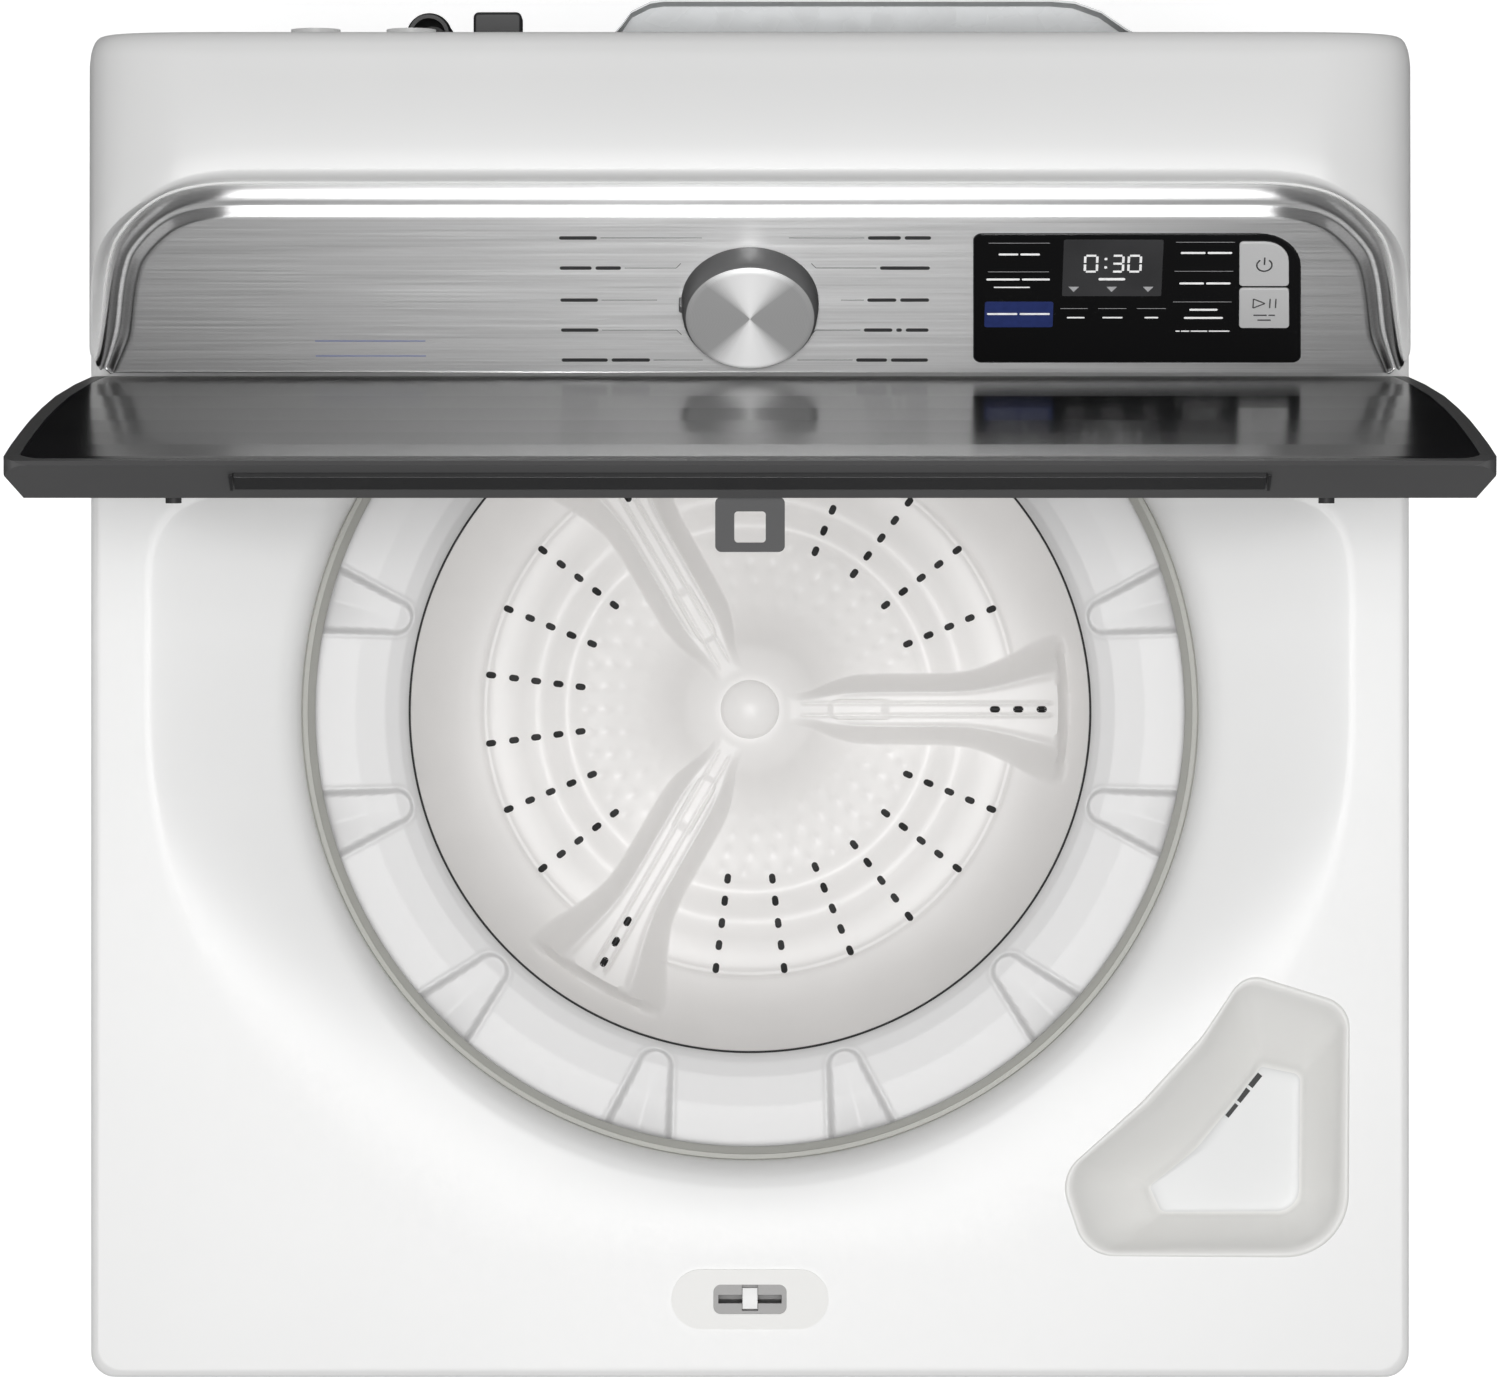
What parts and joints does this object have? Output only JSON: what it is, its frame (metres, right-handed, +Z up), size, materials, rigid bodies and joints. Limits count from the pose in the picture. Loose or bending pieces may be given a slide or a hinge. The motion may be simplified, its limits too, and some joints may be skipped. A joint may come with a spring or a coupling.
{
  "type": "top load washing machine",
  "caption": "Free-standing top load washing machine with an open dark glass lid, brushed control console, hanging tub, steel basket, vaned wash plate and direct-drive motor.",
  "frame": {"origin": "on the floor, under the middle of the machine's box", "axes": "+Z up, +X to the right as the user faces the machine, -Y towards the user"},
  "size_m": [0.6984, 0.73, 1.4528],
  "materials": {
    "white_enamel": "gloss",
    "galvanised_steel": "satin",
    "zinc_steel": "satin",
    "white_plastic": "gloss",
    "warm_white_plastic": "satin",
    "grey_green_trim": "satin",
    "dark_frame": "satin",
    "dark_glass": "gloss",
    "display_glass": "gloss",
    "strike_grey": "satin",
    "lock_grey": "satin",
    "black_rubber": "matte",
    "cord_black": "satin",
    "black_plastic": "satin",
    "hose_grey": "matte",
    "brushed_fascia": "brushed",
    "spun_aluminium": "spun",
    "key_white": "satin",
    "circuit_green": "satin",
    "tub_plastic": "satin",
    "stainless": "satin",
    "plate_plastic": "satin",
    "hub_aluminium": "cast",
    "shaft_steel": "ground",
    "motor_core": "matte",
    "clutch_plastic": "satin",
    "spring_steel": "satin"
  },
  "bodies": {
    "cabinet": {"cabinet_wrap": "white_enamel", "base_frame": "galvanised_steel", "leveling_feet": "black_rubber", "foot_locknuts": "zinc_steel", "rear_panel": "galvanised_steel", "rear_panel_screws": "zinc_steel", "access_plug": "white_plastic", "top_panel": "white_enamel", "opening_trim": "grey_green_trim", "dispenser_cup": "warm_white_plastic", "lid_lock_bezel": "warm_white_plastic", "lid_lock_housing": "lock_grey", "hinge_brackets": "galvanised_steel", "hinge_pins": "zinc_steel", "console_housing": "white_plastic", "console_fascia": "brushed_fascia", "display_panel": "display_glass", "control_board": "circuit_green", "knob_encoder": "black_plastic", "drain_pump": "black_plastic", "sump_bellows": "black_rubber", "drain_hose": "hose_grey", "drain_elbow": "black_plastic", "inlet_valve": "white_plastic", "inlet_nozzle": "white_plastic", "pressure_tube": "black_rubber", "suspension_rods": "galvanised_steel", "suspension_springs": "spring_steel", "cord_strain_relief": "cord_black", "power_cord": "cord_black", "cord_hank": "cord_black", "cord_tie": "black_plastic", "power_plug": "cord_black"},
    "lid": {"lid_frame": "dark_frame", "lid_glass": "dark_glass", "lid_inner_panel": "white_plastic", "lid_hinge_arms": "galvanised_steel", "lid_strike": "strike_grey", "lid_bumpers": "black_rubber"},
    "lock_bolt": {"lid_lock_bolt": "white_plastic"},
    "power_key": {"power_button": "key_white"},
    "start_key": {"start_button": "key_white"},
    "selector": {"selector_knob": "spun_aluminium"},
    "tub": {"outer_tub": "tub_plastic", "tub_cover_ring": "tub_plastic", "tub_bearings": "shaft_steel", "bearing_housing": "hub_aluminium", "shaft_seal": "black_rubber", "stator": "motor_core", "motor_cover": "black_plastic"},
    "basket": {"basket": "stainless", "basket_hub": "hub_aluminium", "balance_ring": "tub_plastic", "ring_bead": "black_rubber"},
    "drive": {"wash_plate": "plate_plastic", "wash_plate_cap": "plate_plastic", "drive_shaft": "shaft_steel", "rotor": "motor_core"},
    "clutch": {"clutch_slider": "clutch_plastic"},
    "pump_rotor": {"pump_impeller": "white_plastic"}
  },
  "joints": [
    {"name": "lid_hinge", "type": "hinge", "parent": "cabinet", "child": "lid", "pos_m": [0, 0.138, 0.958], "axis": [1, 0, 0], "range_deg": [0, 86]},
    {"name": "lock_bolt_slide", "type": "slide", "parent": "cabinet", "child": "lock_bolt", "axis": [0, 1, 0], "range_m": [0, 0.009], "stiffness_N_per_m": 100},
    {"name": "power_key_press", "type": "slide", "parent": "cabinet", "child": "power_key", "axis": [0, 0.665, -0.7469], "range_m": [0, 0.001], "stiffness_N_per_m": 1500, "springref_m": -0.0003},
    {"name": "start_key_press", "type": "slide", "parent": "cabinet", "child": "start_key", "axis": [0, 0.665, -0.7469], "range_m": [0, 0.001], "stiffness_N_per_m": 1500, "springref_m": -0.0003},
    {"name": "selector_turn", "type": "hinge", "parent": "cabinet", "child": "selector", "pos_m": [0, 0.20102, 1.03452], "axis": [0, -0.665, 0.7469], "continuous": true},
    {"name": "tub_bounce", "type": "slide", "parent": "cabinet", "child": "tub", "axis": [0, 0, 1], "range_m": [-0.01, 0.01], "stiffness_N_per_m": 16000, "springref_m": 0.0245, "deforming": ["suspension_springs", "sump_bellows", "pressure_tube"]},
    {"name": "basket_spin", "type": "hinge", "parent": "tub", "child": "basket", "pos_m": [0, -0.0125, 0.35], "axis": [0, 0, 1], "continuous": true},
    {"name": "wash_plate_spin", "type": "hinge", "parent": "tub", "child": "drive", "pos_m": [0, -0.0125, 0.35], "axis": [0, 0, 1], "continuous": true},
    {"name": "clutch_shift", "type": "slide", "parent": "basket", "child": "clutch", "axis": [0, 0, 1], "range_m": [0, 0.006]},
    {"name": "pump_impeller_spin", "type": "hinge", "parent": "cabinet", "child": "pump_rotor", "pos_m": [-0.15, 0.188, 0.11], "axis": [0, 0, 1], "continuous": true}
  ]
}
